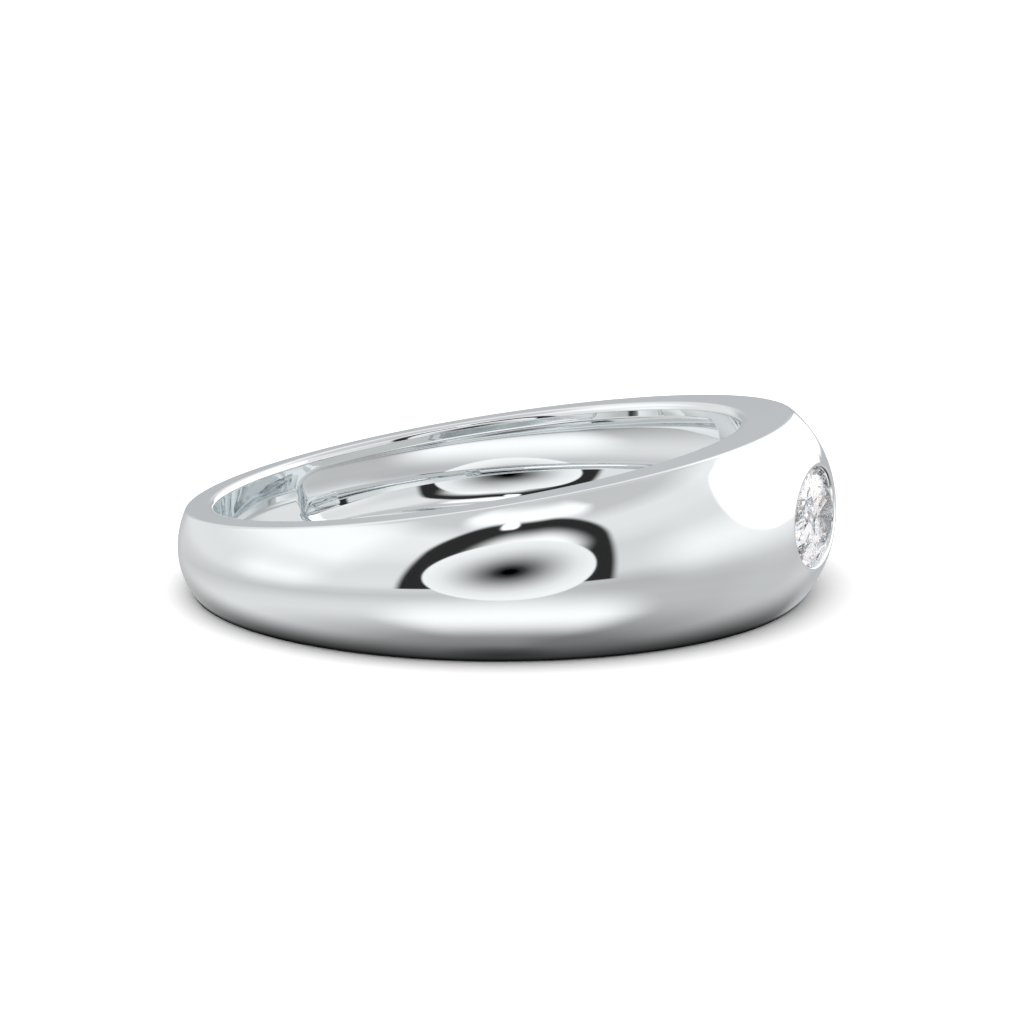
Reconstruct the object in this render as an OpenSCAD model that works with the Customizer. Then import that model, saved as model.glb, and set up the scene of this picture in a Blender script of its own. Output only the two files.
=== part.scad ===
// Flush set gypsy ring: a domed, tapered band of polished white metal with one
// oval stone sunk crosswise into its head. The ring lies on one side face.
// The origin is the middle of the finger hole and +X points to the stone.

/* [Finger hole] */
// Inside diameter of the band
finger_d = 17.0; // [15:0.1:20]
// Width of the broken edge at each end of the hole
hole_break = 0.18; // [0.05:0.01:0.25]

/* [Side faces] */
// Width of the band across the finger, at the head
head_w = 5.8; // [5.2:0.1:6.6]
// Width of the band across the finger, at the back
shank_w = 2.5; // [2.2:0.1:3]
// Depth of the flat side face, from the hole to its outer edge, at the head
face_head = 1.7; // [1.5:0.05:1.9]
// Depth of the flat side face at the sides of the ring
face_side = 1.2; // [1.1:0.05:1.4]
// Depth of the flat side face at the back
face_back = 0.9; // [0.8:0.05:1.1]
// Width of the broken outer edge of each side face
edge_break = 0.1; // [0.05:0.01:0.15]

/* [Dome] */
// Thickness of metal under the crest of the dome, at the head
crest_head = 2.9; // [2.7:0.05:3.2]
// Thickness of metal under the crest at the sides of the ring
crest_side = 2.1; // [1.8:0.05:2.4]
// Thickness of metal under the crest at the back
crest_back = 1.2; // [1.1:0.05:1.5]
// Roundness of the dome at the head: 1 is a plain arc, and less is flatter on top
round_head = 0.75; // [0.5:0.05:1]
// Roundness of the dome at the sides of the ring
round_side = 1.0; // [0.6:0.05:1]
// Roundness of the dome at the back
round_back = 1.0; // [0.6:0.05:1]

/* [Hollowed inside] */
// Angle from the stone at which each hollow starts
hollow_from = 40; // [35:1:60]
// Angle from the stone at which each hollow ends
hollow_to = 155.5; // [130:0.5:158]
// Width of the rail left between the hollow and the side face
hollow_rail = 0.5; // [0.4:0.05:0.7]
// Thickness of the wall left between the hollow and the dome
hollow_wall = 1.0; // [0.8:0.05:1.1]
// Radius of the hollow's floor across the band
hollow_curve = 2.7; // [2.4:0.1:4]
// How far towards the head the hollow's floor is centred
hollow_shift = 1; // [0.6:0.05:1.1]
// Slope of the hollow's long walls, which lean in towards its floor
hollow_slope = 24; // [10:1:35]
// Radius of the corners of the hollow
hollow_corner = 0.5; // [0.3:0.05:0.6]

/* [Stone] */
// Width of the stone, across the band
stone_w = 2.9; // [2.6:0.05:3.1]
// Length of the stone, along the band
stone_l = 4.75; // [4:0.05:5]
// Width of the table as a share of the stone
table_share = 0.57; // [0.52:0.01:0.64]
// Height of the crown above the girdle
crown_h = 0.42; // [0.3:0.01:0.5]
// Thickness of the girdle
girdle_t = 0.07; // [0.04:0.01:0.1]
// Depth of the pavilion below the girdle
pavilion_h = 1.2; // [1.1:0.05:1.35]
// How far the table lies below the crest of the dome
table_sink = 0.12; // [0:0.01:0.15]

/* [Seat] */
// Gap between the stone and the metal
seat_gap = 0.03; // [0.02:0.005:0.05]
// Widening of the mouth on each side, from the girdle up to the crest
mouth_flare = 0.05; // [0.02:0.01:0.1]

/* [Hidden] */
$fn = 96;

finger_r = finger_d / 2;
edge_head = finger_r + face_head;
edge_back = finger_r + face_back;
crest_x = finger_r + crest_head;

// Each side face leaves the middle plane by this much for each mm towards the head
taper = (head_w - shank_w) / 2 / (edge_head + edge_back);
middle_w = head_w / 2 - taper * edge_head;
tilt = atan(taper);

// Places along the stone's axis
oval = stone_l / stone_w;
girdle_top = crest_x - table_sink - crown_h;
girdle_low = girdle_top - girdle_t;

// Steps round the ring, across the dome and round a corner of the hollow
round_steps = 120;
dome_rows = 16;
corner_steps = 6;
// More than any size of the ring, for cutting past it
far = 16;
// The hollow's outline runs this far past its sloping walls, whose cones have these end radii
slope_lap = 0.05;
wall_top_r = finger_r - 0.6;
wall_low_r = finger_r + 8;

// A size that is given at the head, the sides and the back, at angle a from the head
function around(head, side, back, a) =
    let (swing = (head - back) / 2, squash = ((head + back) / 2 - side) / 2)
    side + squash + swing * cos(a) + squash * cos(2 * a);

function edge_r(a) = finger_r + around(face_head, face_side, face_back, a);
function crest_r(a) = finger_r + around(crest_head, crest_side, crest_back, a);
function roundness(a) = around(round_head, round_side, round_back, a);
function half_w(x) = middle_w + taper * x;
function rim_z(a) = half_w(edge_r(a) * cos(a));

// Radius of the dome at angle a, for s from -1 at one side face to 1 at the other
function dome_r(a, s) =
    let (fall = roundness(a) * pow(s, 2) + (1 - roundness(a)) * pow(s, 4))
    crest_r(a) - (crest_r(a) - edge_r(a)) * fall;

function at(r, a, z) = [r * cos(a), r * sin(a), z];

// Walls between rows of n points each, as triangles
function wall_faces(rows, n) =
    [for (j = [0:rows - 2], i = [0:n - 1])
        let (k = (i + 1) % n, p = j * n + i, q = j * n + k)
        each [[p, p + n, q], [q, p + n, q + n]]];

// One row of the dome's solid: the broken edge runs on past the side face
function dome_row(j) =
    let (side = j <= 0 ? -1 : 1, last = j < 0 || j > dome_rows)
    [for (i = [0:round_steps - 1])
        let (
            a = 360 * i / round_steps,
            w = rim_z(a),
            reach = 1 - edge_break / w,
            s = reach * sin(90 * (2 * j / dome_rows - 1)),
            flat_s = side * reach
        )
        last ? at(dome_r(a, flat_s) - 2 * edge_break, a, side * (w + edge_break))
             : at(dome_r(a, s), a, s * w)];

module dome_solid() {
    rows = dome_rows + 3;
    points = [for (j = [-1:dome_rows + 1]) each dome_row(j)];
    low = [for (i = [0:round_steps - 1]) i];
    high = [for (i = [round_steps - 1:-1:0]) (rows - 1) * round_steps + i];
    polyhedron(points, concat(wall_faces(rows, round_steps), [low], [high]));
}

// All that lies beyond one side face
module beyond_face(side) {
    mirror([0, 0, side < 0 ? 1 : 0])
        translate([0, 0, middle_w])
            rotate([0, -tilt, 0])
                translate([-far, -far, 0])
                    cube([2 * far, 2 * far, far]);
}

module broken_hole_edge(side) {
    mirror([0, 0, side < 0 ? 1 : 0])
        translate([0, 0, middle_w])
            rotate([0, -tilt, 0])
                translate([0, 0, -2 * hole_break])
                    cylinder(h = 3 * hole_break, r1 = finger_r - hole_break,
                        r2 = finger_r + 2 * hole_break);
}

// A round corner of the hollow's outline, at its end at x, from angle a to angle b
function corner(x, inward, a, b) =
    let (
        cx = x + inward * hollow_corner,
        cz = middle_w - hollow_rail + slope_lap + taper * cx - hollow_corner / cos(tilt)
    )
    [for (i = [0:corner_steps])
        let (t = a + (b - a) * i / corner_steps)
        [cx + hollow_corner * cos(t), cz + hollow_corner * sin(t)]];

// The hollow seen along Y: its long edges run beside the side faces
module hollow_outline() {
    upper = concat(
        corner(finger_r * cos(hollow_to), 1, 180, 90 + tilt),
        corner(finger_r * cos(hollow_from), -1, 90 + tilt, 0));
    lower = [for (i = [len(upper) - 1:-1:0]) [upper[i][0], -upper[i][1]]];
    polygon(concat(upper, lower));
}

// All that lies within the sloping long wall of one side, which meets the hole at the rail
module within_wall(side) {
    rise = (finger_r - wall_top_r) * tan(hollow_slope);
    drop = (wall_low_r - finger_r) * tan(hollow_slope);
    mirror([0, 0, side < 0 ? 1 : 0])
        translate([0, 0, middle_w])
            rotate([0, -tilt, 0])
                translate([0, 0, -hollow_rail - drop])
                    cylinder(h = drop + rise, r1 = wall_low_r, r2 = wall_top_r);
}

// Both sides' hollows: milled in from the hole, down to a floor that follows the dome
module hollows() {
    floor_r = finger_r + crest_side - hollow_wall;
    intersection() {
        rotate([90, 0, 0])
            linear_extrude(height = 2 * far, center = true)
                hollow_outline();
        translate([hollow_shift, 0, 0])
            rotate_extrude()
                translate([floor_r - hollow_curve, 0])
                    circle(r = hollow_curve);
        within_wall(-1);
        within_wall(1);
    }
}

// Turns a shape made along +Z to the stone's axis, and stretches it to the oval
module on_stone_axis(x) {
    translate([x, 0, 0])
        rotate([0, 90, 0])
            scale([1, oval, 1])
                children();
}

module seat() {
    top_r = stone_w / 2 + seat_gap;
    point_r = 0.25;
    mouth_h = crest_x - girdle_low;
    on_stone_axis(girdle_low)
        cylinder(h = 2 * mouth_h, r1 = top_r, r2 = top_r + 2 * mouth_flare);
    on_stone_axis(girdle_low - pavilion_h - seat_gap)
        cylinder(h = pavilion_h + 2 * seat_gap, r1 = point_r, r2 = top_r);
}

// Lays the ring on its lower side face
module as_it_lies() {
    rotate([0, -tilt, 0]) children();
}

// The band before it is hollowed and its seat is cut
module plain_band() {
    difference() {
        dome_solid();
        cylinder(h = 2 * far, r = finger_r, center = true);
        for (side = [-1, 1]) {
            beyond_face(side);
            broken_hole_edge(side);
        }
    }
}

module band() {
    color("silver")
        as_it_lies()
            difference() {
                plain_band();
                hollows();
                seat();
            }
}

// The stone's corners, on a circle of radius 1 that is then stretched.
// The kites lie flat where the star tips and the lower tips have these heights.
star_r = 0.78;
lower_r = 0.24;
eighth = 45;
half_turn = eighth / 2;
star_z = crown_h * (1 - star_r * cos(half_turn)) / (1 - table_share);
lower_z = pavilion_h * (1 - lower_r * cos(half_turn));

function stone_ring(r, z, count, start) =
    [for (i = [0:count - 1]) at(r * stone_w / 2, start + 360 * i / count, z)];

module stone() {
    points = concat(
        stone_ring(table_share, girdle_t + crown_h, 8, 0),
        stone_ring(star_r, girdle_t + star_z, 8, half_turn),
        stone_ring(1, girdle_t, 16, 0),
        stone_ring(1, 0, 16, 0),
        stone_ring(lower_r, -lower_z, 8, half_turn),
        [[0, 0, -pavilion_h]]);
    star = 8;
    upper = 16;
    lower = 32;
    tip = 48;
    culet = 56;
    table = [for (i = [7:-1:0]) i];
    each_eighth = [for (i = [0:7])
        let (k = (i + 1) % 8, g = 2 * i, m = 2 * i + 1, n = (2 * i + 2) % 16, b = (i + 7) % 8)
        each [
            [i, k, star + i],
            [i, star + i, upper + g, star + b],
            [star + i, upper + m, upper + g],
            [star + i, upper + n, upper + m],
            [upper + g, upper + m, lower + m, lower + g],
            [upper + m, upper + n, lower + n, lower + m],
            [lower + g, lower + m, tip + i],
            [lower + m, lower + n, tip + i],
            [lower + g, tip + i, culet, tip + b]
        ]];
    color("white")
        as_it_lies()
            on_stone_axis(girdle_low)
                polyhedron(points, concat([table], each_eighth));
}

band();
stone();
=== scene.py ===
import math
import bpy
import numpy as np
from mathutils import Matrix, Vector


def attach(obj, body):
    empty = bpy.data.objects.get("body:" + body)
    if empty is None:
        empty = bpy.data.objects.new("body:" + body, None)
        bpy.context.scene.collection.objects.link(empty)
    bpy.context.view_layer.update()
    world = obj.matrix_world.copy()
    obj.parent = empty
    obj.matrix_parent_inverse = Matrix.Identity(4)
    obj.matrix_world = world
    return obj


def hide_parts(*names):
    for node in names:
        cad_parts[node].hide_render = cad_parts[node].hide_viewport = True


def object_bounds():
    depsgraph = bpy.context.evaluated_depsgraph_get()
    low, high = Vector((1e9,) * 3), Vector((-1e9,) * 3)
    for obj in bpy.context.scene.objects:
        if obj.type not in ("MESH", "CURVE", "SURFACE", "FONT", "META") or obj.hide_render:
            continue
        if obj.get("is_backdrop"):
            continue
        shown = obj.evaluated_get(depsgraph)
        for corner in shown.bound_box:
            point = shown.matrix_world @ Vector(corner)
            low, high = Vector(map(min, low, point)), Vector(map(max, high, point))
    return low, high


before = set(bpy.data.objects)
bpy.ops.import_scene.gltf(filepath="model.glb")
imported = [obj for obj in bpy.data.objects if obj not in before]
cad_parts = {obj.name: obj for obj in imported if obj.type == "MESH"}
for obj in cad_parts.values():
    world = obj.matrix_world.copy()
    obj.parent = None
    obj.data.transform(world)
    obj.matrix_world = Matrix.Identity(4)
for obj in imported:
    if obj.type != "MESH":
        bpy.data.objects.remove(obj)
cad_low, cad_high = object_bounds()

# The band: one piece of white metal, cast, then filed and polished to a mirror. Its head is domed and
# wide and its back narrow, both side faces are flat, and each side is milled hollow inside. Sizes are
# in millimetres, and turned into metres by `mm` where a mesh is finished.
mm = 0.001
hole_r, middle_w, taper = 8.5, 2.0413, 0.084184
lean_by = math.atan(taper)  # how far the ring tips to lie on its side face
face_depth = (1.7, 1.2, 0.9)  # at the head, the sides and the back
crest_depth = (2.9, 2.1, 1.2)
roundness = (0.75, 1.0, 1.0)
outer_break, hole_break = 0.08, 0.22
steps_round, dome_rows, hollow_rows, break_rows = 480, 64, 28, 5
face_rows, edge_rows, edge_w = (0.03, 0.15, 0.5, 0.85, 0.97), (0.15, 0.6), 0.36


def around(sizes, a):
    head, side, back = sizes
    squash = ((head + back) / 2 - side) / 2
    return side + squash + (head - back) / 2 * np.cos(a) + squash * np.cos(2 * a)


def rim_w(a):
    return middle_w + taper * (hole_r + around(face_depth, a)) * np.cos(a)


def dome_r(a, s):
    k = around(roundness, a)
    fall = k * s**2 + (1 - k) * s**4
    return hole_r + around(crest_depth, a) * (1 - fall) + around(face_depth, a) * fall


# A point of the band is written as its angle from the head, its share across the band, its share of
# the way from the dome in to the finger hole, and its depth under the dome.
def written(x, y, z):
    a = np.arctan2(y, x)
    s = z / rim_w(a)
    return np.stack([a, s, 0 * a, dome_r(a, s) - np.hypot(x, y)], -1)


angles = 2 * math.pi * np.arange(steps_round) / steps_round
one = np.ones(steps_round)
arc = np.linspace(0, math.pi / 2, break_rows + 1)
out_s, out_q = outer_break / rim_w(angles), outer_break / around(face_depth, angles)
hole_w = middle_w + taper * hole_r * np.cos(angles)
in_s, in_q = hole_break / hole_w, hole_break / around(face_depth, angles)
rail = 1 - edge_w / hole_w
half = [(1 - out_s * (1 - math.sin(t)), out_q * (1 - math.cos(t))) for t in arc[1:]]
half += [(one, q * (1 - in_q) + (1 - q) * out_q) for q in face_rows]
half += [(1 - in_s * (1 - math.cos(t)), 1 - in_q * (1 - math.sin(t))) for t in arc]
half += [((1 - in_s) * (1 - t) + rail * t, one) for t in edge_rows]
swings = [math.sin(math.pi * (j / dome_rows - 0.5)) for j in range(dome_rows + 1)]
dome = [((1 - out_s) * swing, 0 * one) for swing in swings]
wall = [(rail * (1 - 2 * j / hollow_rows), one) for j in range(hollow_rows + 1)]
rows = dome + half + wall + [(-s, q) for s, q in reversed(half)]
net = np.concatenate([np.stack([angles, s, q, 0 * one], -1) for s, q in rows])
used = {(j, i) for j in range(len(rows)) for i in range(steps_round)}
quads = []


def vid(j, i):
    return (j % len(rows)) * steps_round + i % steps_round


def border(j0, j1, i0, i1):
    ring = [(j0, i) for i in range(i0, i1)] + [(j, i1) for j in range(j0, j1)]
    return ring + [(j1, i) for i in range(i1, i0, -1)] + [(j, i0) for j in range(j1, j0, -1)]


def open_patch(j0, j1, i0, i1):
    for j in range(j0, j1):
        for i in range(i0, i1):
            used.discard((j, i % steps_round))
    return [vid(j, i) for j, i in border(j0, j1, i0, i1)]


def add_loops(first, loops):
    """Joins loops of points to the ring of vertices `first`, and gives the last loop's vertices."""
    global net
    last = first
    for loop in loops:
        new = list(range(len(net), len(net) + len(loop)))
        net = np.concatenate([net, loop])
        for k in range(len(new)):
            n = (k + 1) % len(new)
            quads.append((last[k], last[n], new[n], new[k]))
        last = new
    return last


# The seat, cut through the crest of the head: its oval mouth with a soft lip, a short wall that widens
# outwards, a ledge and the cone under the stone.
crest_x = hole_r + crest_depth[0]
stone_l, stone_w, seat_gap = 4.75, 2.9, 0.03
table_sunk, crown_h, girdle_t = 0.12, 0.42, 0.07
oval, seat_r, mouth_flare = stone_l / stone_w, stone_w / 2 + seat_gap, 0.05
ledge_x, ledge_w = crest_x - table_sunk - crown_h - girdle_t, 0.027
cone_h, point_r, lip = 1.23, 0.25, 0.14
point_x = ledge_x - cone_h
seat_cols, seat_share, dome_loops, dome_bunch = 25, 0.74, 14, 1.6
low_row = next(j for j in range(dome_rows) if dome[j][0][0] > -seat_share)
seat_ring = open_patch(low_row, dome_rows - low_row, -seat_cols, seat_cols)
edge = net[seat_ring]
edge_y = dome_r(edge[:, 0], edge[:, 1]) * np.sin(edge[:, 0])
edge_z = edge[:, 1] * rim_w(edge[:, 0])
turn = np.arctan2(edge_z / abs(edge_z).max(), edge_y / abs(edge_y).max())


def on_dome(y, z):
    a = np.arcsin(y / crest_x)
    for _ in range(25):
        a = np.arcsin(y / dome_r(a, z / rim_w(a)))
    return dome_r(a, z / rim_w(a)) * np.cos(a)


def seat_loop(r, x):
    return written(x, r * oval * np.cos(turn), r * np.sin(turn))


mouth_r = seat_r * np.ones(len(turn))
for _ in range(10):
    mouth_x = on_dome(mouth_r * oval * np.cos(turn), mouth_r * np.sin(turn))
    mouth_r = seat_r + mouth_flare * (mouth_x - ledge_x) / (crest_x - ledge_x)
loops = []
for t in 1 - (1 - np.linspace(0, 1, dome_loops + 1)[1:]) ** dome_bunch:
    y = edge_y * (1 - t) + (mouth_r + lip) * oval * np.cos(turn) * t
    z = edge_z * (1 - t) + (mouth_r + lip) * np.sin(turn) * t
    loops.append(written(on_dome(y, z), y, z))
for t in arc[1:]:
    r = mouth_r + lip * (1 - math.sin(t))
    x = on_dome(r * oval * np.cos(turn), r * np.sin(turn)) - lip * (1 - math.cos(t))
    loops.append(seat_loop(r, x))
for t in (0.1, 0.5, 0.9, 1):
    loops.append(seat_loop(mouth_r * (1 - t) + seat_r * t, (mouth_x - lip) * (1 - t) + ledge_x * t))
all_round = np.ones(len(turn))
for t in (0, 0.03, 0.3, 0.65, 0.97, 1):
    r = (seat_r - ledge_w) * (1 - t) + point_r * t
    loops.append(seat_loop(r * all_round, (ledge_x * (1 - t) + point_x * t) * all_round))
bottom = add_loops(seat_ring, loops)
net = np.concatenate([net, written(np.array([point_x]), np.array([0.0]), np.array([0.0]))])
fans = [(bottom[k], bottom[(k + 1) % len(bottom)], len(net) - 1) for k in range(len(bottom))]

# The hollows: milled in from the finger hole, with round corners, a broken rim and a floor that follows
# the dome about a millimetre under it and curls in towards its lower wall.
back_end, head_end, patch_ends = 155.5, 40, (37.5, 157.5)  # angles from the stone
hollow_ends = hole_r * math.cos(math.radians(back_end)), hole_r * math.cos(math.radians(head_end))
rail_w, corner_r, rim_break = 0.5, 0.5, 0.07
floor_axis, floor_ring, floor_curve = 1.0, 6.9, 2.7
curl, curl_from, foot_curl, foot_from, curl_depth = 0.228, -0.11, 1.82, 0.597, 0.75
draft = math.tan(math.radians(24))


def hollow_outline(x, z, grow):
    """Moves points of a rectangle, given as shares from -1 to 1, to the hollow's rounded outline."""
    lo, hi = hollow_ends[0] - grow, hollow_ends[1] + grow
    r = corner_r + grow
    px = (lo + hi) / 2 + (hi - lo) / 2 * x
    top = middle_w - rail_w + grow + taper * px
    pz = top * z
    end = np.where(px > (lo + hi) / 2, hi, lo)
    dx, dz = np.clip(1 - abs(px - end) / r, 0, 1), np.clip(1 - (top - abs(pz)) / r, 0, 1)
    turned = np.where(abs(z) > abs(x), math.pi / 2 - math.pi / 4 * dx, math.pi / 4 * dz)
    in_corner = (dx > 0) & (dz > 0)
    out_x = end + np.sign(x) * r * (np.cos(turned) - 1)
    out_z = np.sign(z) * (middle_w - rail_w + grow + taper * out_x - r * (1 - np.sin(turned)))
    return np.where(in_corner, out_x, px), np.where(in_corner, out_z, pz)


def curled_in(low):
    """The share of its depth that the floor loses below its middle, where it curls in."""
    return curl * np.maximum(low - curl_from, 0) ** 2 + foot_curl * np.maximum(low - foot_from, 0) ** 2


def hollow_loop(side, x, z, sunk):
    near = np.sqrt(hole_r**2 - x**2)
    top = middle_w - rail_w + taper * x
    low_z = z
    for _ in range(12):
        far = np.sqrt((floor_ring + np.sqrt(floor_curve**2 - low_z**2)) ** 2 - (x - floor_axis) ** 2)
        far = far - np.minimum(far - near, curl_depth) * curled_in(-low_z / top)
        y = near + sunk(far - near)
        low_z = z * (1 - draft * np.maximum(np.hypot(x, y) - hole_r, 0) / top)
    return written(x, side * y, low_z)


wall_row = dome_rows + 1 + len(half)
for side in (1, -1):
    i0, i1 = sorted(side * round(end * steps_round / 360) for end in patch_ends)
    hollow_ring = open_patch(wall_row, wall_row + hollow_rows, i0, i1)
    columns = i1 - i0
    frame_spots = border(0, hollow_rows, 0, columns)
    share_x = np.array([-side * (i / columns * 2 - 1) for j, i in frame_spots])
    share_z = np.array([1 - 2 * j / hollow_rows for j, i in frame_spots])
    edge = net[hollow_ring]
    edge_x = hole_r * np.cos(edge[:, 0])
    edge_z = edge[:, 1] * (middle_w + taper * edge_x)
    rim_x, rim_z = hollow_outline(share_x, share_z, rim_break)
    loops = []
    for t in (0.35, 0.7, 0.93, 1):
        x, z = edge_x * (1 - t) + rim_x * t, edge_z * (1 - t) + rim_z * t
        loops.append(hollow_loop(side, x, z, lambda d: 0))
    for t in arc[1:]:
        x, z = hollow_outline(share_x, share_z, rim_break * (1 - math.sin(t)))
        loops.append(hollow_loop(side, x, z, lambda d: rim_break * (1 - math.cos(t))))
    for part in (0.1, 0.5, 0.9, 1):
        loops.append(hollow_loop(side, x, z, lambda d: rim_break + (d - 2 * rim_break) * part))
    for t in arc[1:]:
        x, z = hollow_outline(share_x, share_z, -rim_break * (1 - math.cos(t)))
        loops.append(hollow_loop(side, x, z, lambda d: d - rim_break * (1 - math.sin(t))))
    last = add_loops(hollow_ring, loops)
    # The floor fills the last loop, its lines blended from the four sides.
    ids = np.zeros((hollow_rows + 1, columns + 1), int)
    for (j, i), v in zip(frame_spots, last):
        ids[j, i] = v
    ids[1:-1, 1:-1] = len(net) + np.arange((hollow_rows - 1) * (columns - 1)).reshape(hollow_rows - 1, -1)
    lx, lz = np.zeros(ids.shape), np.zeros(ids.shape)
    for (j, i), px, pz in zip(frame_spots, x, z):
        lx[j, i], lz[j, i] = px, pz
    u, v = np.meshgrid(np.linspace(0, 1, columns + 1), np.linspace(0, 1, hollow_rows + 1))
    for p in (lx, lz):
        ends = (1 - v) * p[:1] + v * p[-1:] + (1 - u) * p[:, :1] + u * p[:, -1:]
        ends -= (1 - v) * ((1 - u) * p[0, 0] + u * p[0, -1]) + v * ((1 - u) * p[-1, 0] + u * p[-1, -1])
        p[1:-1, 1:-1] = ends[1:-1, 1:-1]
    inner_x, inner_z = lx[1:-1, 1:-1].ravel(), lz[1:-1, 1:-1].ravel()
    net = np.concatenate([net, hollow_loop(side, inner_x, inner_z, lambda d: d)])
    quads += [
        (ids[j, i], ids[j, i + 1], ids[j + 1, i + 1], ids[j + 1, i])
        for j in range(hollow_rows)
        for i in range(columns)
    ]

quads += [(vid(j, i), vid(j, i + 1), vid(j + 1, i + 1), vid(j + 1, i)) for j, i in sorted(used)]
# The points of the opened patches belong to no face, so they are left out.
faces = quads + fans
kept = np.zeros(len(net), bool)
kept[[v for f in faces for v in f]] = True
renumber = np.cumsum(kept) - 1
net = net[kept]
band_mesh = bpy.data.meshes.new("band_net")
band_mesh.from_pydata(net[:, :3].tolist(), [], [tuple(int(renumber[v]) for v in f) for f in faces])
depth = band_mesh.attributes.new("depth", "FLOAT", "POINT")
depth.data.foreach_set("value", net[:, 3].astype(np.float32))

# The metal: rhodium-bright and polished by hand, so its gloss and its tone drift a little over the
# surface.
metal = bpy.data.materials.new("polished white metal")
metal.use_nodes = True
nodes, links = metal.node_tree.nodes, metal.node_tree.links
shader = nodes["Principled BSDF"]
shader.inputs["Metallic"].default_value = 1.0
place = nodes.new("ShaderNodeTexCoord")
cloud = nodes.new("ShaderNodeTexNoise")
cloud.inputs["Scale"].default_value = 260.0
cloud.inputs["Detail"].default_value = 3.0
links.new(place.outputs["Object"], cloud.inputs["Vector"])
gloss = nodes.new("ShaderNodeMapRange")
gloss.inputs["From Min"].default_value = 0.3
gloss.inputs["From Max"].default_value = 0.7
gloss.inputs["To Min"].default_value = 0.015
gloss.inputs["To Max"].default_value = 0.045
links.new(cloud.outputs["Fac"], gloss.inputs["Value"])
links.new(gloss.outputs["Result"], shader.inputs["Roughness"])
tone = nodes.new("ShaderNodeMix")
tone.data_type = "RGBA"
tone.inputs["A"].default_value = (0.845, 0.868, 0.878, 1)
tone.inputs["B"].default_value = (0.861, 0.885, 0.895, 1)
links.new(cloud.outputs["Fac"], tone.inputs["Factor"])
links.new(tone.outputs["Result"], shader.inputs["Base Color"])

# Geometry Nodes form the band from its net: the rule turns each written point into a place.
around_tree = bpy.data.node_groups.new("size around the ring", "GeometryNodeTree")
for name in ("Angle", "Head", "Side", "Back"):
    around_tree.interface.new_socket(name, in_out="INPUT", socket_type="NodeSocketFloat")
around_tree.interface.new_socket("Size", in_out="OUTPUT", socket_type="NodeSocketFloat")


def calc(tree, op, *values):
    node = tree.nodes.new("ShaderNodeMath")
    node.operation = op
    for k, value in enumerate(values):
        if isinstance(value, (int, float)):
            node.inputs[k].default_value = value
        else:
            tree.links.new(value, node.inputs[k])
    return node.outputs[0]


given = around_tree.nodes.new("NodeGroupInput").outputs
sum_ends = calc(around_tree, "ADD", given["Head"], given["Back"])
swing = calc(around_tree, "MULTIPLY", calc(around_tree, "SUBTRACT", given["Head"], given["Back"]), 0.5)
less_side = calc(around_tree, "MULTIPLY", given["Side"], -1.0)
squash = calc(around_tree, "MULTIPLY_ADD", sum_ends, 0.5, less_side)
squash = calc(around_tree, "MULTIPLY", squash, 0.5)
swung = calc(around_tree, "MULTIPLY", swing, calc(around_tree, "COSINE", given["Angle"]))
twice = calc(around_tree, "COSINE", calc(around_tree, "MULTIPLY", given["Angle"], 2.0))
squashed = calc(around_tree, "MULTIPLY_ADD", squash, twice, squash)
size = calc(around_tree, "ADD", calc(around_tree, "ADD", given["Side"], squashed), swung)
around_tree.links.new(size, around_tree.nodes.new("NodeGroupOutput").inputs["Size"])

form = bpy.data.node_groups.new("domed band", "GeometryNodeTree")
form.interface.new_socket("Net", in_out="INPUT", socket_type="NodeSocketGeometry")
band_sizes = {
    "Hole Radius": hole_r, "Half Width In The Middle": middle_w, "Taper": taper,
    "Face At Head": face_depth[0], "Face At Side": face_depth[1], "Face At Back": face_depth[2],
    "Crest At Head": crest_depth[0], "Crest At Side": crest_depth[1], "Crest At Back": crest_depth[2],
    "Round At Head": roundness[0], "Round At Side": roundness[1], "Round At Back": roundness[2],
    "Lean": -lean_by, "Scale": mm,
}
socket_ids = {}
for name in band_sizes:
    socket = form.interface.new_socket(name, in_out="INPUT", socket_type="NodeSocketFloat")
    socket_ids[name] = socket.identifier
metal_id = form.interface.new_socket("Metal", in_out="INPUT", socket_type="NodeSocketMaterial").identifier
form.interface.new_socket("Band", in_out="OUTPUT", socket_type="NodeSocketGeometry")
given = form.nodes.new("NodeGroupInput").outputs
apart = form.nodes.new("ShaderNodeSeparateXYZ")
form.links.new(form.nodes.new("GeometryNodeInputPosition").outputs[0], apart.inputs[0])
angle, share, inward = apart.outputs
sunk = form.nodes.new("GeometryNodeInputNamedAttribute")
sunk.inputs["Name"].default_value = "depth"
sizes = {}
for part in ("Face", "Crest", "Round"):
    group = form.nodes.new("GeometryNodeGroup")
    group.node_tree = around_tree
    form.links.new(angle, group.inputs["Angle"])
    for where in ("Head", "Side", "Back"):
        form.links.new(given[f"{part} At {where}"], group.inputs[where])
    sizes[part] = group.outputs[0]
cos_a, sin_a = calc(form, "COSINE", angle), calc(form, "SINE", angle)
square = calc(form, "MULTIPLY", share, share)
fourth = calc(form, "MULTIPLY", square, square)
fall = calc(form, "MULTIPLY_ADD", sizes["Round"], calc(form, "SUBTRACT", square, fourth), fourth)
drop = calc(form, "MULTIPLY", calc(form, "SUBTRACT", sizes["Crest"], sizes["Face"]), fall)
above_hole = calc(form, "SUBTRACT", calc(form, "SUBTRACT", sizes["Crest"], drop), sunk.outputs["Attribute"])
outward = calc(form, "SUBTRACT", 1.0, inward)
radius = calc(form, "MULTIPLY_ADD", above_hole, outward, given["Hole Radius"])
face_r = calc(form, "MULTIPLY_ADD", sizes["Face"], outward, given["Hole Radius"])
ahead = calc(form, "MULTIPLY", face_r, cos_a)
width = calc(form, "MULTIPLY_ADD", ahead, given["Taper"], given["Half Width In The Middle"])
place = form.nodes.new("ShaderNodeCombineXYZ")
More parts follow.
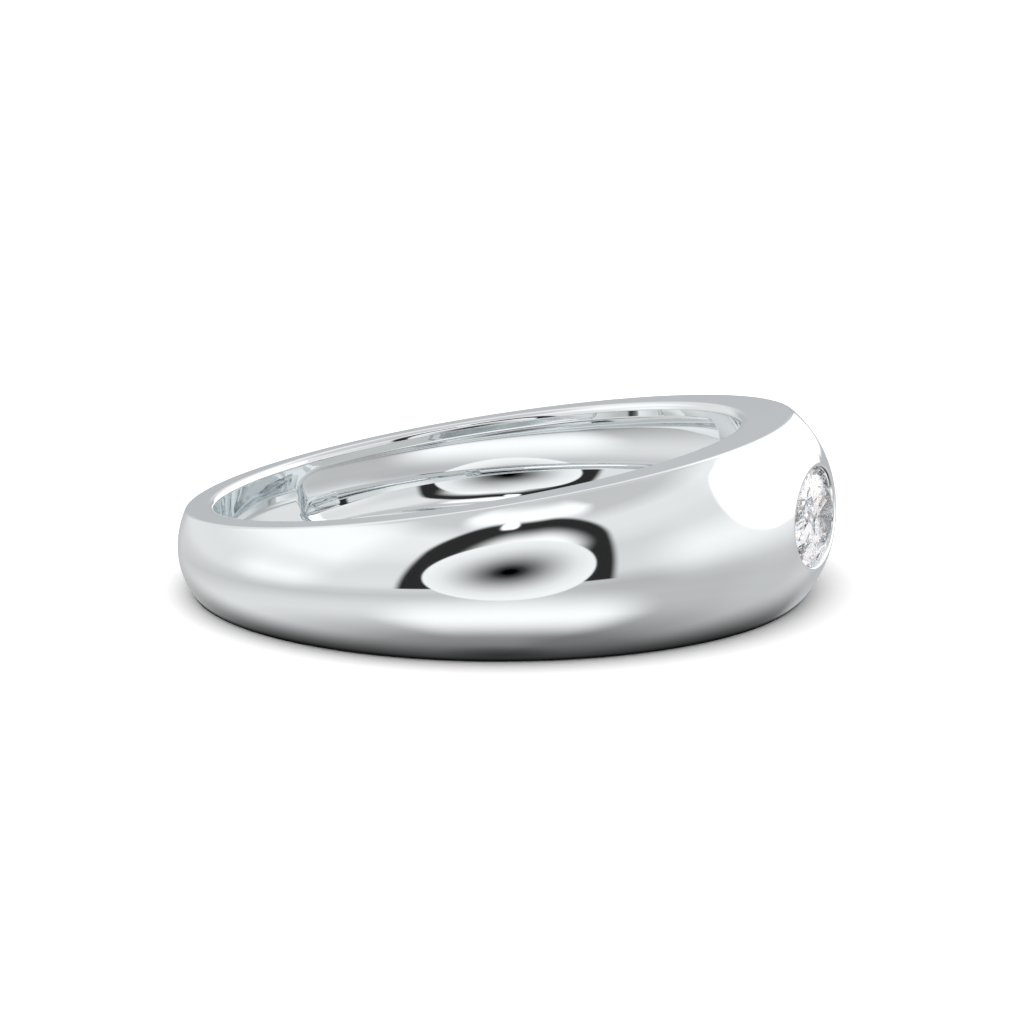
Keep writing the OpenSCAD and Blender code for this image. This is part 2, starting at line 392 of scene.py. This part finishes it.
form.links.new(calc(form, "MULTIPLY", radius, cos_a), place.inputs[0])
form.links.new(calc(form, "MULTIPLY", radius, sin_a), place.inputs[1])
form.links.new(calc(form, "MULTIPLY", share, width), place.inputs[2])
lean = form.nodes.new("ShaderNodeVectorRotate")
lean.rotation_type = "Y_AXIS"
form.links.new(place.outputs[0], lean.inputs["Vector"])
form.links.new(given["Lean"], lean.inputs["Angle"])
sized = form.nodes.new("ShaderNodeVectorMath")
sized.operation = "SCALE"
form.links.new(lean.outputs[0], sized.inputs[0])
form.links.new(given["Scale"], sized.inputs["Scale"])
move = form.nodes.new("GeometryNodeSetPosition")
form.links.new(given["Net"], move.inputs["Geometry"])
form.links.new(sized.outputs[0], move.inputs["Position"])
real = form.nodes.new("GeometryNodeRealizeInstances")
form.links.new(move.outputs[0], real.inputs[0])
coat = form.nodes.new("GeometryNodeSetMaterial")
form.links.new(real.outputs[0], coat.inputs["Geometry"])
form.links.new(given["Metal"], coat.inputs["Material"])
form.links.new(coat.outputs[0], form.nodes.new("NodeGroupOutput").inputs["Band"])

net_object = bpy.data.objects.new("band_net", band_mesh)
bpy.context.scene.collection.objects.link(net_object)
wrap = net_object.modifiers.new("wrap", "NODES")
wrap.node_group = form
for name, value in band_sizes.items():
    wrap[socket_ids[name]] = value
wrap[metal_id] = metal
wrapped = net_object.evaluated_get(bpy.context.evaluated_depsgraph_get())
band = bpy.data.objects.new("polished_band", bpy.data.meshes.new_from_object(wrapped))
bpy.data.objects.remove(net_object)
bpy.context.scene.collection.objects.link(band)
band.data.name = "polished_band"
band.data.attributes.remove(band.data.attributes["depth"])


def turn_outward(mesh):
    """Flips the faces of a closed mesh if they look inwards."""
    mesh.calc_loop_triangles()
    corners = [[mesh.vertices[v].co for v in t.vertices] for t in mesh.loop_triangles]
    if sum(a.dot(b.cross(c)) for a, b, c in corners) < 0:
        mesh.flip_normals()


turn_outward(band.data)
band.data.shade_smooth()
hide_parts("band")
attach(band, "root")

# The stone: one clear oval cut as a 57-facet brilliant, with table, crown, thin girdle and pavilion.
# It is sunk in its seat lengthwise along the band, its girdle below the mouth's edge. Geometry Nodes
# repeat one eighth of it.
gem = bpy.data.materials.new("clear cut stone")
gem.use_nodes = True
nodes, links = gem.node_tree.nodes, gem.node_tree.links
shader = nodes["Principled BSDF"]
shader.inputs["Roughness"].default_value = 0.0
shader.inputs["IOR"].default_value = 2.4
shader.inputs["Transmission Weight"].default_value = 1.0
# The stone's colour holds painted fire and sparkle. Tiny cells tinted blue, orange and light to dark grey
# stand in for the flashes of light and shade in the cut.
place = nodes.new("ShaderNodeTexCoord")
painted_sparkle_cells = nodes.new("ShaderNodeTexVoronoi")
painted_sparkle_cells.inputs["Scale"].default_value = 13000.0
links.new(place.outputs["Object"], painted_sparkle_cells.inputs["Vector"])
which = nodes.new("ShaderNodeSeparateColor")
links.new(painted_sparkle_cells.outputs["Color"], which.inputs[0])
painted_fire_and_sparkle = nodes.new("ShaderNodeValToRGB")
painted_fire_and_sparkle.color_ramp.interpolation = "CONSTANT"
painted_fire_and_sparkle.color_ramp.elements[0].color = (0.54, 0.68, 0.9, 1)
painted_fire_and_sparkle.color_ramp.elements[1].position = 0.85
painted_fire_and_sparkle.color_ramp.elements[1].color = (0.92, 0.66, 0.54, 1)
painted_fire_and_sparkle.color_ramp.elements.new(0.14).color = (0.8, 0.81, 0.82, 1)
painted_fire_and_sparkle.color_ramp.elements.new(0.42).color = (0.9, 0.9, 0.9, 1)
painted_fire_and_sparkle.color_ramp.elements.new(0.62).color = (0.68, 0.68, 0.68, 1)
painted_fire_and_sparkle.color_ramp.elements.new(0.76).color = (0.4, 0.41, 0.43, 1)
links.new(which.outputs[0], painted_fire_and_sparkle.inputs["Fac"])
links.new(painted_fire_and_sparkle.outputs["Color"], shader.inputs["Base Color"])

table_r, star_r, lower_r, pavilion_h = 0.57, 0.78, 0.24, 1.2  # radii are shares of the girdle's
eighth = math.pi / 4
star_z = crown_h * (1 - star_r * math.cos(eighth / 2)) / (1 - table_r)
lower_z = pavilion_h * (1 - lower_r * math.cos(eighth / 2))


def ring_point(r, turns, z):
    return (r * math.cos(turns * eighth), r * math.sin(turns * eighth), z)


top, low = girdle_t, 0.0
eighth_points = [
    (0, 0, top + crown_h), ring_point(table_r, 0, top + crown_h), ring_point(table_r, 1, top + crown_h),
    ring_point(star_r, 0.5, top + star_z), ring_point(star_r, -0.5, top + star_z),
    ring_point(1, 0, top), ring_point(1, 0.5, top), ring_point(1, 1, top),
    ring_point(1, 0, low), ring_point(1, 0.5, low), ring_point(1, 1, low),
    ring_point(lower_r, 0.5, -lower_z), ring_point(lower_r, -0.5, -lower_z), (0, 0, -pavilion_h),
]
eighth_faces = [
    (0, 1, 2), (1, 3, 2), (1, 4, 5, 3), (3, 5, 6), (3, 6, 7),
    (5, 8, 9, 6), (6, 9, 10, 7), (8, 11, 9), (9, 11, 10), (8, 12, 13, 11),
]
eighth_mesh = bpy.data.meshes.new("stone_eighth")
eighth_mesh.from_pydata(eighth_points, [], eighth_faces)
eighth_object = bpy.data.objects.new("stone_eighth", eighth_mesh)
bpy.context.scene.collection.objects.link(eighth_object)

cut = bpy.data.node_groups.new("oval brilliant", "GeometryNodeTree")
cut.interface.new_socket("Eighth", in_out="INPUT", socket_type="NodeSocketGeometry")
cut_sizes = {
    "Repeats": 8.0, "Half Width": stone_w / 2 * mm, "Length By Width": oval, "Height Scale": mm,
    "Girdle Place": ledge_x * mm, "Lean": -lean_by,
}
cut_ids = {}
for name in cut_sizes:
    socket = cut.interface.new_socket(name, in_out="INPUT", socket_type="NodeSocketFloat")
    cut_ids[name] = socket.identifier
gem_id = cut.interface.new_socket("Gem", in_out="INPUT", socket_type="NodeSocketMaterial").identifier
cut.interface.new_socket("Stone", in_out="OUTPUT", socket_type="NodeSocketGeometry")
given = cut.nodes.new("NodeGroupInput").outputs
spots = cut.nodes.new("GeometryNodeMeshLine")
cut.links.new(given["Repeats"], spots.inputs["Count"])
spots.inputs["Offset"].default_value = (0, 0, 0)
turned = cut.nodes.new("ShaderNodeCombineXYZ")
index = cut.nodes.new("GeometryNodeInputIndex")
whole_turn = calc(cut, "DIVIDE", 2 * math.pi, given["Repeats"])
cut.links.new(calc(cut, "MULTIPLY", index.outputs[0], whole_turn), turned.inputs[2])
repeat = cut.nodes.new("GeometryNodeInstanceOnPoints")
cut.links.new(spots.outputs[0], repeat.inputs["Points"])
cut.links.new(given["Eighth"], repeat.inputs["Instance"])
cut.links.new(turned.outputs[0], repeat.inputs["Rotation"])
real = cut.nodes.new("GeometryNodeRealizeInstances")
cut.links.new(repeat.outputs[0], real.inputs[0])
weld = cut.nodes.new("GeometryNodeMergeByDistance")
weld.inputs["Distance"].default_value = 0.001
cut.links.new(real.outputs[0], weld.inputs["Geometry"])
apart = cut.nodes.new("ShaderNodeSeparateXYZ")
cut.links.new(cut.nodes.new("GeometryNodeInputPosition").outputs[0], apart.inputs[0])
across_r, along_r, height = apart.outputs
raised = calc(cut, "MULTIPLY_ADD", height, given["Height Scale"], given["Girdle Place"])
stretched = calc(cut, "MULTIPLY", along_r, given["Half Width"])
stretched = calc(cut, "MULTIPLY", stretched, given["Length By Width"])
lowered = calc(cut, "MULTIPLY", calc(cut, "MULTIPLY", across_r, given["Half Width"]), -1.0)
stood = cut.nodes.new("ShaderNodeCombineXYZ")
cut.links.new(raised, stood.inputs[0])
cut.links.new(stretched, stood.inputs[1])
cut.links.new(lowered, stood.inputs[2])
lean = cut.nodes.new("ShaderNodeVectorRotate")
lean.rotation_type = "Y_AXIS"
cut.links.new(stood.outputs[0], lean.inputs["Vector"])
cut.links.new(given["Lean"], lean.inputs["Angle"])
move = cut.nodes.new("GeometryNodeSetPosition")
cut.links.new(weld.outputs[0], move.inputs["Geometry"])
cut.links.new(lean.outputs[0], move.inputs["Position"])
coat = cut.nodes.new("GeometryNodeSetMaterial")
cut.links.new(move.outputs[0], coat.inputs["Geometry"])
cut.links.new(given["Gem"], coat.inputs["Material"])
cut.links.new(coat.outputs[0], cut.nodes.new("NodeGroupOutput").inputs["Stone"])

repeat_mod = eighth_object.modifiers.new("cut", "NODES")
repeat_mod.node_group = cut
for name, value in cut_sizes.items():
    repeat_mod[cut_ids[name]] = value
repeat_mod[gem_id] = gem
cut_result = eighth_object.evaluated_get(bpy.context.evaluated_depsgraph_get())
stone = bpy.data.objects.new("oval_stone", bpy.data.meshes.new_from_object(cut_result))
bpy.data.objects.remove(eighth_object)
bpy.context.scene.collection.objects.link(stone)
stone.data.name = "oval_stone"
turn_outward(stone.data)
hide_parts("stone")
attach(stone, "root")

# The floor: a plain pale sheet of paper, flat and matt. It is kept out of the metal's reflections, so
# that the ring mirrors the light below it.
floor_mesh = bpy.data.meshes.new("floor")
reach, floor_z = 3.0, cad_low.z
floor_corners = [(x * reach, y * reach, floor_z) for x, y in ((-1, -1), (1, -1), (1, 1), (-1, 1))]
floor_mesh.from_pydata(floor_corners, [], [(0, 1, 2, 3)])
floor = bpy.data.objects.new("floor", floor_mesh)
bpy.context.scene.collection.objects.link(floor)
floor.visible_glossy = False
paper = bpy.data.materials.new("white paper")
paper.use_nodes = True
paper.node_tree.nodes["Principled BSDF"].inputs["Base Color"].default_value = (0.88, 0.88, 0.88, 1)
paper.node_tree.nodes["Principled BSDF"].inputs["Roughness"].default_value = 1.0
floor_mesh.materials.append(paper)
floor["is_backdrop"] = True

# Close under the ring the floor is dark: this band of shade lies round the outline that it rests on,
# and only the polished metal sees it.
shade_steps, shade_lift = 240, 2e-6
shade_a = 2 * math.pi * np.arange(shade_steps) / shade_steps
shade_loops = []
for grow in (-0.05, 0.04, 0.13):
    r = hole_r + around(face_depth, shade_a) + grow
    shade_x = r * np.cos(shade_a) / math.cos(lean_by) + middle_w * math.sin(lean_by)
    shade_loops.append(np.stack([shade_x * mm, r * np.sin(shade_a) * mm, 0 * r + floor_z + shade_lift], -1))
shade_mesh = bpy.data.meshes.new("contact_shade")
shade_faces = []
for i in range(shade_steps):
    for start in (0, shade_steps):
        here, after = start + i, start + (i + 1) % shade_steps
        shade_faces.append((here, here + shade_steps, after + shade_steps, after))
shade_mesh.from_pydata(np.concatenate(shade_loops).tolist(), [], shade_faces)
dark = shade_mesh.attributes.new("dark", "FLOAT", "POINT")
dark.data.foreach_set("value", np.repeat([1.0, 1.0, 0.0], shade_steps).astype(np.float32))
shade = bpy.data.objects.new("contact_shade", shade_mesh)
bpy.context.scene.collection.objects.link(shade)
shade.visible_camera = shade.visible_diffuse = shade.visible_shadow = shade.visible_transmission = False
soft_dark = bpy.data.materials.new("contact shade")
soft_dark.use_nodes = True
nodes, links = soft_dark.node_tree.nodes, soft_dark.node_tree.links
how_dark = nodes.new("ShaderNodeAttribute")
how_dark.attribute_name = "dark"
nodes["Principled BSDF"].inputs["Base Color"].default_value = (0.02, 0.02, 0.02, 1)
nodes["Principled BSDF"].inputs["Roughness"].default_value = 1.0
nodes["Principled BSDF"].inputs["Specular IOR Level"].default_value = 0.0
links.new(how_dark.outputs["Fac"], nodes["Principled BSDF"].inputs["Alpha"])
shade_mesh.materials.append(soft_dark)
shade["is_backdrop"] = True

# The light all round: a studio with grey walls, white softboxes, and behind the camera a dark arch with
# a round reflector in it that fades to black in its middle. It is painted by direction only, in degrees
# across from the camera's side, to the right, and in degrees up.
card = bpy.data.node_groups.new("soft card", "ShaderNodeTree")
card_sizes = ("Centre Across", "Centre Up", "Half Width", "Half Height", "Corner", "Softness")
for name in ("Across", "Up") + card_sizes:
    card.interface.new_socket(name, in_out="INPUT", socket_type="NodeSocketFloat")
card.interface.new_socket("Mask", in_out="OUTPUT", socket_type="NodeSocketFloat")
given = card.nodes.new("NodeGroupInput").outputs
over = []
for heading, centre, half in (("Across", "Centre Across", "Half Width"), ("Up", "Centre Up", "Half Height")):
    off = calc(card, "ABSOLUTE", calc(card, "SUBTRACT", given[heading], given[centre]))
    inner = calc(card, "SUBTRACT", given[half], given["Corner"])
    over.append(calc(card, "POWER", calc(card, "MAXIMUM", calc(card, "SUBTRACT", off, inner), 0.0), 2.0))
spread = calc(card, "SQRT", calc(card, "ADD", over[0], over[1]))
fade = card.nodes.new("ShaderNodeMapRange")
fade.interpolation_type = "SMOOTHSTEP"
card.links.new(spread, fade.inputs["Value"])
card.links.new(calc(card, "SUBTRACT", given["Corner"], given["Softness"]), fade.inputs["From Min"])
card.links.new(calc(card, "ADD", given["Corner"], given["Softness"]), fade.inputs["From Max"])
fade.inputs["To Min"].default_value = 1.0
fade.inputs["To Max"].default_value = 0.0
card.links.new(fade.outputs[0], card.nodes.new("NodeGroupOutput").inputs["Mask"])

camera_side = math.radians(-71.458)
world = bpy.data.worlds.new("studio")
bpy.context.scene.world = world
world.use_nodes = True
sky = world.node_tree
looking = sky.nodes.new("ShaderNodeTexCoord").outputs["Generated"]


def along(direction):
    node = sky.nodes.new("ShaderNodeVectorMath")
    node.operation = "DOT_PRODUCT"
    sky.links.new(looking, node.inputs[0])
    node.inputs[1].default_value = direction
    return node.outputs["Value"]


front = along((math.cos(camera_side), math.sin(camera_side), 0))
right = along((-math.sin(camera_side), math.cos(camera_side), 0))
above_ring = along((0, 0, 1))
across = calc(sky, "DEGREES", calc(sky, "ARCTAN2", right, front))
up = calc(sky, "DEGREES", calc(sky, "ARCSINE", above_ring))


def ramp(value, stops):
    """Turns a value in degrees into the greys given for it."""
    low, high = stops[0][0], stops[-1][0]
    spreader = sky.nodes.new("ShaderNodeMapRange")
    spreader.inputs["From Min"].default_value = low
    spreader.inputs["From Max"].default_value = high
    sky.links.new(value, spreader.inputs["Value"])
    node = sky.nodes.new("ShaderNodeValToRGB")
    while len(node.color_ramp.elements) < len(stops):
        node.color_ramp.elements.new(0.5)
    for element, (at, grey) in zip(node.color_ramp.elements, stops):
        element.position = (at - low) / (high - low)
        element.color = (grey, grey, grey, 1)
    sky.links.new(spreader.outputs[0], node.inputs[0])
    return node.outputs[0]


def mixed(way, share, first, second):
    """Mixes two lights, each a socket, a grey or a colour, by a share that is a socket or a number."""
    node = sky.nodes.new("ShaderNodeMix")
    node.data_type = "RGBA"
    node.blend_type = way
    for socket, value in (("Factor", share), ("A", first), ("B", second)):
        if isinstance(value, bpy.types.NodeSocket):
            sky.links.new(value, node.inputs[socket])
        elif socket == "Factor":
            node.inputs[socket].default_value = value
        elif isinstance(value, tuple):
            node.inputs[socket].default_value = value
        else:
            node.inputs[socket].default_value = (value, value, value, 1)
    return node.outputs["Result"]


def card_mask(*sizes, here=across, height=up):
    """The mask of a card, from its centre across and up, half width, half height, corner and softness."""
    node = sky.nodes.new("ShaderNodeGroup")
    node.node_tree = card
    sky.links.new(here, node.inputs["Across"])
    sky.links.new(height, node.inputs["Up"])
    for name, value in zip(card_sizes, sizes):
        node.inputs[name].default_value = value
    return node.outputs[0]


def fading(value, low, high, way="SMOOTHSTEP"):
    node = sky.nodes.new("ShaderNodeMapRange")
    node.interpolation_type = way
    node.inputs["From Min"].default_value = low
    node.inputs["From Max"].default_value = high
    node.inputs["To Min"].default_value = 1.0
    node.inputs["To Max"].default_value = 0.0
    sky.links.new(value, node.inputs["Value"])
    return node.outputs[0]


def turned_from(lift, stretch, skew):
    """The angle between a direction and the middle of the reflector, lifted by some degrees."""
    lift = math.radians(lift)
    ahead = calc(sky, "MULTIPLY", front, -math.sin(lift))
    rise = calc(sky, "MULTIPLY_ADD", above_ring, math.cos(lift), ahead)
    rise = calc(sky, "MULTIPLY_ADD", right, skew, rise)
    wide = calc(sky, "POWER", calc(sky, "MULTIPLY", right, stretch), 2.0)
    off = calc(sky, "SQRT", calc(sky, "ADD", wide, calc(sky, "POWER", rise, 2.0)))
    degrees = calc(sky, "DEGREES", calc(sky, "ARCSINE", calc(sky, "MINIMUM", off, 1.0)))
    return calc(sky, "MULTIPLY_ADD", calc(sky, "LESS_THAN", front, 0.0), 90.0, degrees)


# From the dark floor to the ceiling, the walls are grey and brightest at 45 degrees up.
light = ramp(up, (
    (-90, 0.06), (-84, 0.11), (-78, 0.21), (-66, 0.29), (-56, 0.456), (-48, 0.575), (-40, 0.7),
    (-32, 0.767), (-24, 0.742), (-12, 0.595), (-6, 0.66), (0, 0.783), (5, 0.797), (24, 0.762),
    (32, 0.84), (40, 0.89), (50, 0.895), (60, 0.632), (72, 0.625), (90, 0.62),
))
# Two dim stretches at the right, and the darkest one low down opposite the camera.
light = mixed("MULTIPLY", card_mask(51, 5.5, 42.5, 81.2, 21.6, 12.8), light, 0.925)
light = mixed("MULTIPLY", card_mask(80.7, -49.1, 54.3, 35.4, 17.4, 19.3), light, 0.736)
dark_lift = math.radians(55.7)
low_back = calc(sky, "MULTIPLY", above_ring, -math.sin(dark_lift))
low_back = calc(sky, "MULTIPLY_ADD", front, -math.cos(dark_lift), low_back)
from_dark = calc(sky, "DEGREES", calc(sky, "ARCCOSINE", low_back))
light = mixed("MIX", fading(from_dark, 24.3, 48.8), light, 0.022)
# Soft lights: two at the left, one low and one high on the camera's side.
light = mixed("MIX", card_mask(-97.6, 37.2, 32.9, 13.5, 6.3, 15.6), light, 1.098)
light = mixed("MIX", card_mask(-87.1, 7.1, 15.9, 7.7, 9.2, 11.7), light, 1.066)
light = mixed("MIX", card_mask(3.9, -42.1, 50.1, 14.2, 23.1, 14), light, 1.055)
light = mixed("MIX", card_mask(0, 65.3, 42.5, 6.3, 16.7, 4.4), light, 1.1)
# Grey screens behind the ring, with a soft light at the right between them.
light = mixed("MIX", card_mask(166, -11, 21, 15, 10, 5), light, (0.49, 0.5, 0.51, 1))
light = mixed("MIX", card_mask(90.5, 7.2, 33.4, 13.2, 13.6, 15.8), light, 0.986)
screen = card_mask(182.6, -0.7, 22.4, 10.7, 7.6, 8, here=calc(sky, "ABSOLUTE", across))
light = mixed("MIX", screen, light, (0.464, 0.48, 0.495, 1))
# The big softbox at the back right, cut off straight at its side, and a small strip along its foot.
box_side = card_mask(118, 20, 51, 70, 1, 0.8)
box = calc(sky, "MULTIPLY", card_mask(135.6, 23.2, 50.6, 23.6, 23, 1.2), box_side)
light = mixed("MIX", box, light, 1.3)
box_foot = calc(sky, "MULTIPLY_ADD", across, 0.42, up)
light = mixed("MIX", card_mask(162, 67.7, 6.5, 3.7, 2, 1, height=box_foot), light, 1.3)
# The dark arch, its legs cut off by a horizon that slopes, with a haze in it and a small lamp on top.
horizon = calc(sky, "ADD", up, calc(sky, "MULTIPLY_ADD", right, 3.2, 3.5))
legs = card_mask(0, 50, 60, 51.5, 1, 0.7, height=horizon)
arch = calc(sky, "MULTIPLY", card_mask(-0.4, 9.9, 37.1, 50.6, 24.3, 1.8), legs)
light = mixed("MIX", arch, light, 0.026)
light = mixed("MIX", card_mask(3.4, 33, 21.8, 15.6, 17, 6.7), light, 1.08)
light = mixed("MIX", card_mask(-8.1, 58.5, 4.8, 2.9, 2.8, 1.2), light, 1.3)
# The round reflector in the arch, black in its middle where the lens looks through it.
glow = ramp(turned_from(12.4, 1.06, 0.0), (
    (0, 0.0), (2.5, 0.0), (5.5, 0.05), (8.5, 0.16), (11.5, 0.28), (15.5, 0.47), (20, 0.67), (24.5, 0.85),
    (31, 0.97),
))
disc = fading(turned_from(11.1, 1.089, 0.083), 31.9, 32.9, way="LINEAR")
light = mixed("MIX", disc, light, glow)
sky.links.new(light, sky.nodes["Background"].inputs["Color"])
sky.nodes["Background"].inputs["Strength"].default_value = 1.08

# The overhead light: one wide, soft lamp high above the ring and a little to the camera's side, which
# lays the ring's shadow on the floor. It doesn't show in the metal.
lamp_side, lamp_tilt = camera_side - math.radians(10), math.radians(15)
above = bpy.data.lights.new("overhead", "SUN")
above.angle = 1.6
above.energy = 2.8
overhead = bpy.data.objects.new("overhead", above)
tip_axis = (-math.sin(lamp_side), math.cos(lamp_side), 0)
overhead.rotation_euler = Matrix.Rotation(lamp_tilt, 3, tip_axis).to_euler()
overhead.visible_glossy = False
overhead.visible_transmission = False
bpy.context.scene.collection.objects.link(overhead)

# The camera: a long lens, 119 mm off, at the photograph's angle above the floor. Light may bounce often,
# as it does inside the ring.
lift, lens_off, aim_right, aim_up = math.radians(12.773), 0.118963, 0.0009715, 0.0002844
level = Vector((math.cos(camera_side), math.sin(camera_side), 0))
back = level * math.cos(lift) + Vector((0, 0, math.sin(lift)))
sideways = Vector((-math.sin(camera_side), math.cos(camera_side), 0))
upward = back.cross(sideways)
lens = bpy.data.cameras.new("camera")
lens.lens = 129.96
lens.sensor_width = 36.0
lens.clip_start = 0.01
camera = bpy.data.objects.new("camera", lens)
camera.matrix_world = Matrix((sideways, upward, back)).transposed().to_4x4()
camera.location = aim_right * sideways + aim_up * upward + lens_off * back
bpy.context.scene.collection.objects.link(camera)
bpy.context.scene.camera = camera
bpy.context.scene.view_settings.view_transform = "Standard"
bpy.context.scene.cycles.max_bounces = 24
bpy.context.scene.cycles.glossy_bounces = 16
bpy.context.scene.cycles.transmission_bounces = 16
bpy.context.scene.cycles.caustics_reflective = False

low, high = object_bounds()
